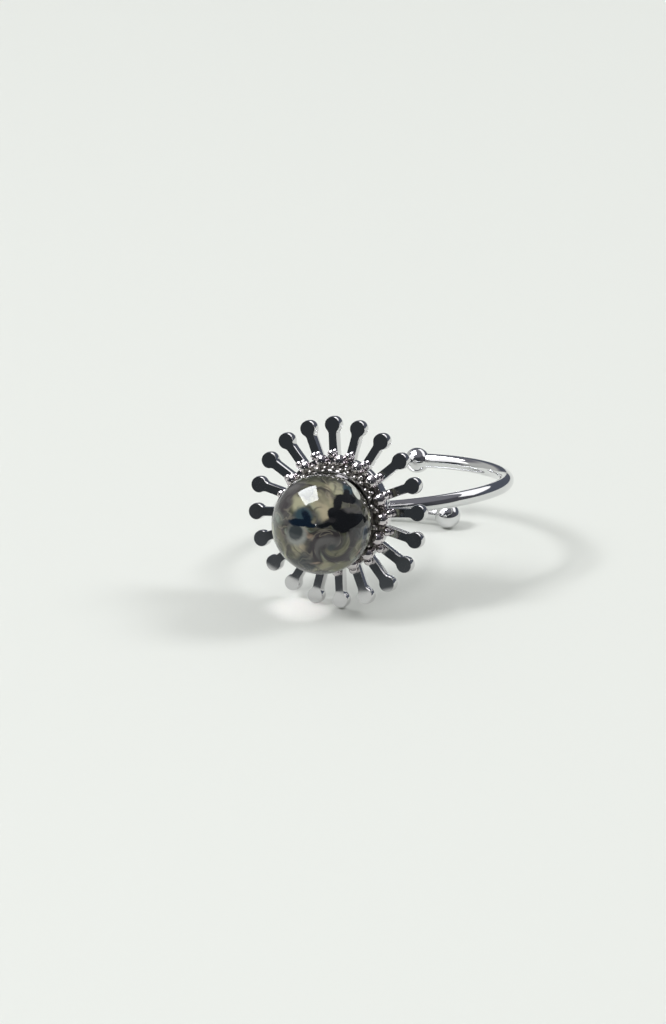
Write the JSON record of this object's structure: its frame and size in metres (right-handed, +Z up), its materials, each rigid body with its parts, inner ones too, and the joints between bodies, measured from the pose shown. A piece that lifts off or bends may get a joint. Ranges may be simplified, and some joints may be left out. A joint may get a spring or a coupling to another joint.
{
  "type": "flower ring",
  "caption": "Open bypass ring of bright round wire with ball ends, carrying a flower of round-headed stamens, a beaded cup and a round marbled glass dome.",
  "frame": {"origin": "on the surface that the ring rests on, under the middle of its width and depth", "axes": "+Z up, the flower's face towards -Y and tipped up a little, the band behind it towards +Y, +X to the right as seen from the front"},
  "size_m": [0.0192, 0.028, 0.0152],
  "materials": {
    "polished_metal": "mirror polished, rhodium bright",
    "marbled_glass": "opaque marbled glass, glossy"
  },
  "bodies": {
    "root": {"band": "polished_metal", "flower": "polished_metal", "beaded_cup": "polished_metal", "stone": "marbled_glass"}
  },
  "joints": []
}
